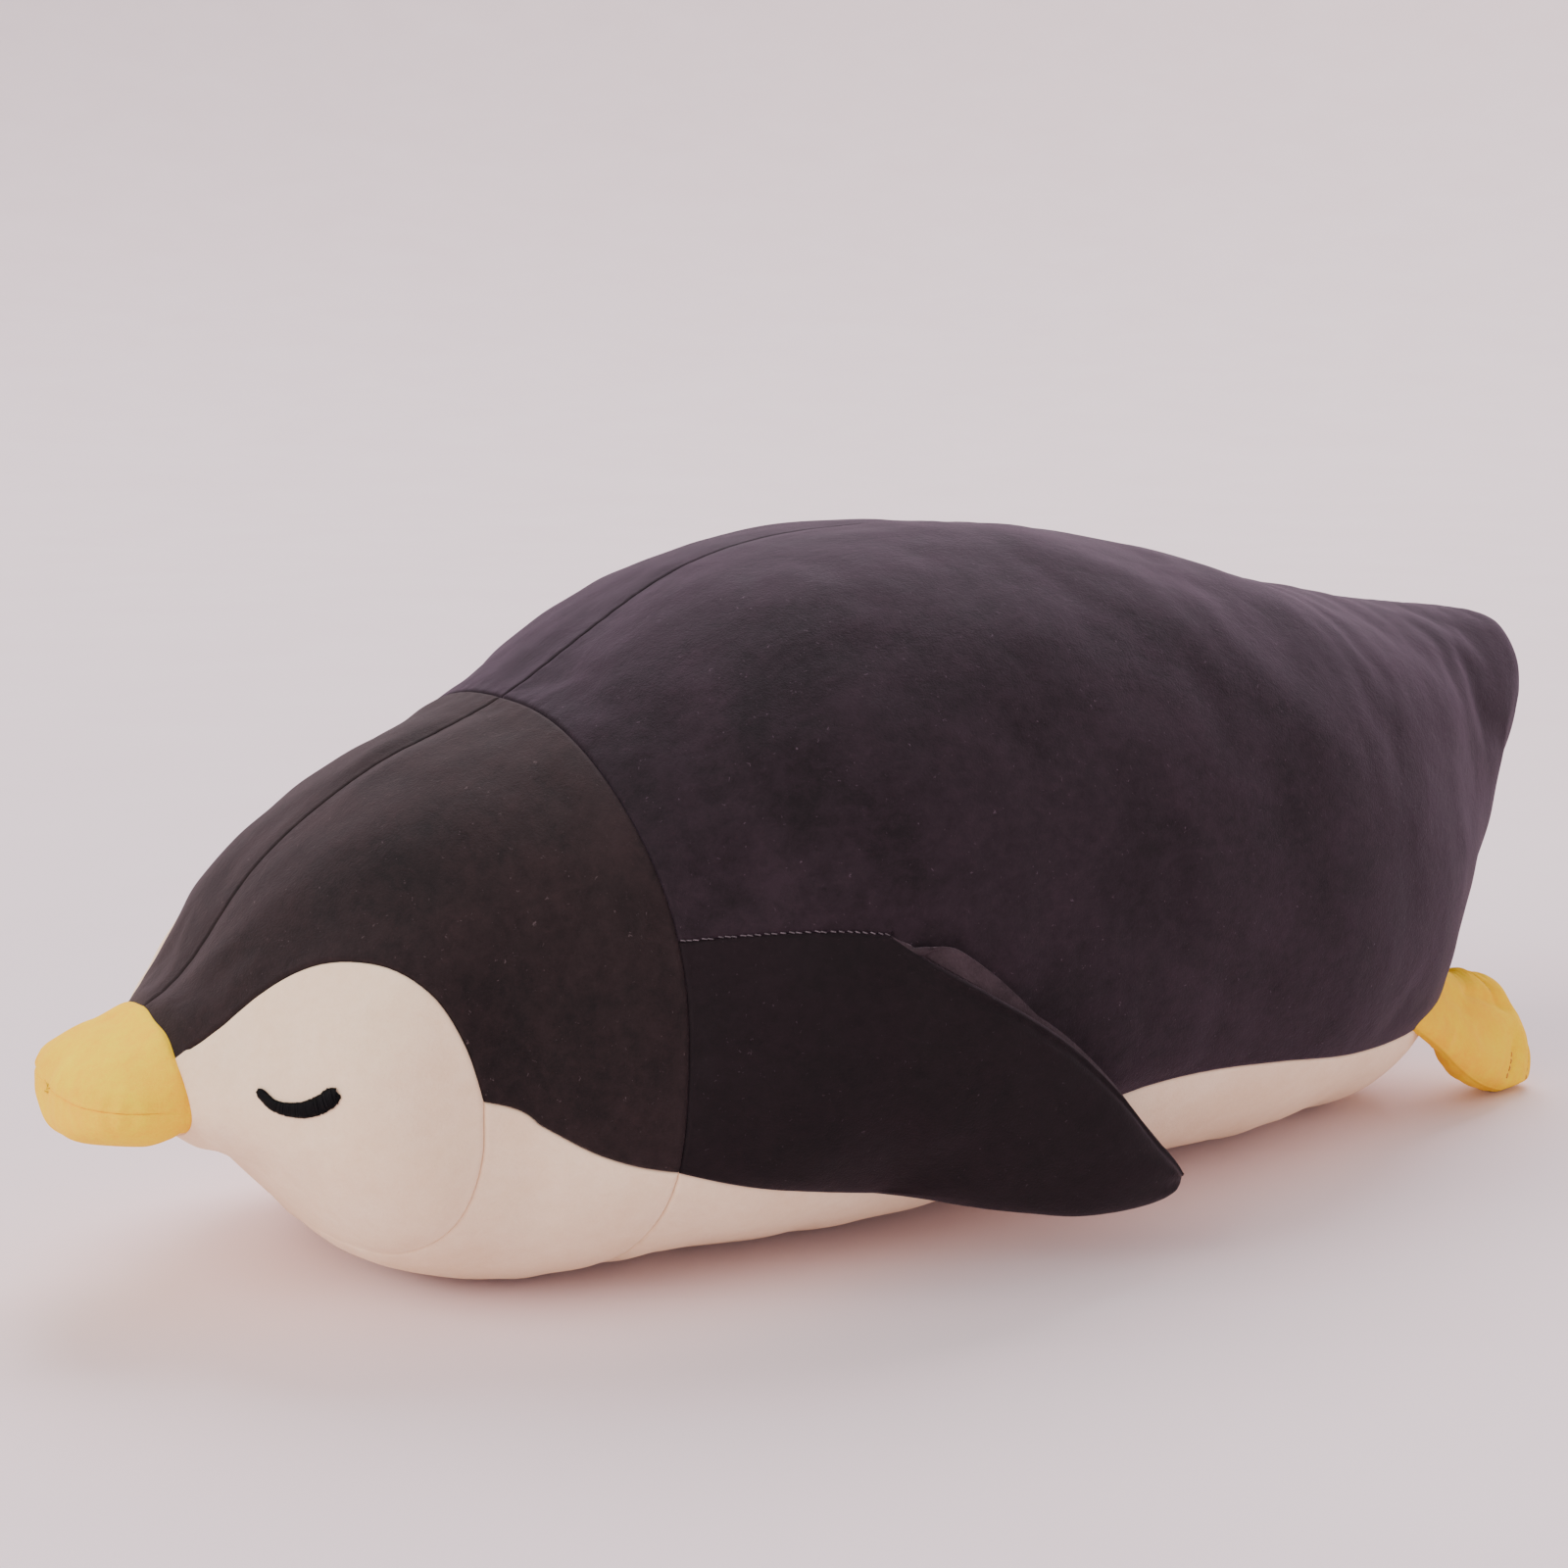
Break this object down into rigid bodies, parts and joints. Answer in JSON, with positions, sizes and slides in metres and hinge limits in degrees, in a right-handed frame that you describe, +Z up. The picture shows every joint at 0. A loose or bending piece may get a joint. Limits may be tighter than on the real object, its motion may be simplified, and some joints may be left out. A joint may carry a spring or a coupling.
{
  "type": "plush penguin",
  "caption": "Padded velvet penguin lying on its belly, with a padded beak, two flippers that swing out and two feet that flex.",
  "frame": {"origin": "centre of the outline's box, on the plane that the belly rests on", "axes": "+Y from beak to tail, +X to the penguin's left, +Z up"},
  "size_m": [0.3964, 0.7985, 0.304],
  "materials": {
    "back_velvet": "short-pile stretch velvet, charcoal with a faint purple cast",
    "hood_velvet": "short-pile stretch velvet, charcoal brown, nap laid the other way",
    "flipper_velvet": "short-pile stretch velvet, deep charcoal",
    "white_velvet": "short-pile stretch velvet, warm white",
    "yellow_velvet": "short-pile stretch velvet, warm yellow",
    "black_embroidery": "satin-stitch embroidery thread",
    "yellow_thread": "polyester sewing thread",
    "dark_thread": "polyester sewing thread",
    "filling": "loose polyester fibre"
  },
  "bodies": {
    "body": {"beak_upper_panel": "yellow_velvet", "beak_lower_panel": "yellow_velvet", "beak_stuffing": "filling", "hood_panel_left": "hood_velvet", "hood_panel_right": "hood_velvet", "face_panel_left": "white_velvet", "face_panel_right": "white_velvet", "eye_embroidery_left": "black_embroidery", "eye_embroidery_right": "black_embroidery", "throat_panel": "white_velvet", "back_panel_left": "back_velvet", "back_panel_right": "back_velvet", "belly_panel": "white_velvet", "body_stuffing": "filling", "closing_stitches": "dark_thread", "flipper_root_panel_left": "flipper_velvet", "flipper_root_panel_right": "flipper_velvet"},
    "flipper_left": {"flipper_outer_panel_left": "flipper_velvet", "flipper_inner_panel_left": "flipper_velvet", "flipper_stuffing_left": "filling"},
    "flipper_right": {"flipper_outer_panel_right": "flipper_velvet", "flipper_inner_panel_right": "flipper_velvet", "flipper_stuffing_right": "filling"},
    "foot_left": {"foot_upper_panel_left": "yellow_velvet", "foot_sole_panel_left": "yellow_velvet", "foot_stuffing_left": "filling", "toe_stitches_left": "yellow_thread"},
    "foot_right": {"foot_upper_panel_right": "yellow_velvet", "foot_sole_panel_right": "yellow_velvet", "foot_stuffing_right": "filling", "toe_stitches_right": "yellow_thread"}
  },
  "joints": [
    {"name": "flipper_left_swing", "type": "hinge", "parent": "body", "child": "flipper_left", "pos_m": [0.18, -0.107, 0.1], "axis": [-0.1699, 0.06, -0.9836], "range_deg": [0, 50], "stiffness_Nm_per_rad": 0.02},
    {"name": "flipper_right_swing", "type": "hinge", "parent": "body", "child": "flipper_right", "pos_m": [-0.18, -0.107, 0.1], "axis": [-0.1699, -0.06, 0.9836], "range_deg": [0, 50], "stiffness_Nm_per_rad": 0.02},
    {"name": "foot_left_flex", "type": "hinge", "parent": "body", "child": "foot_left", "pos_m": [0.078, 0.284, 0.045], "axis": [0.6732, -0.6732, -0.306], "range_deg": [-10, 35], "stiffness_Nm_per_rad": 0.05},
    {"name": "foot_right_flex", "type": "hinge", "parent": "body", "child": "foot_right", "pos_m": [-0.078, 0.284, 0.045], "axis": [0.6732, 0.6732, 0.306], "range_deg": [-10, 35], "stiffness_Nm_per_rad": 0.05}
  ]
}
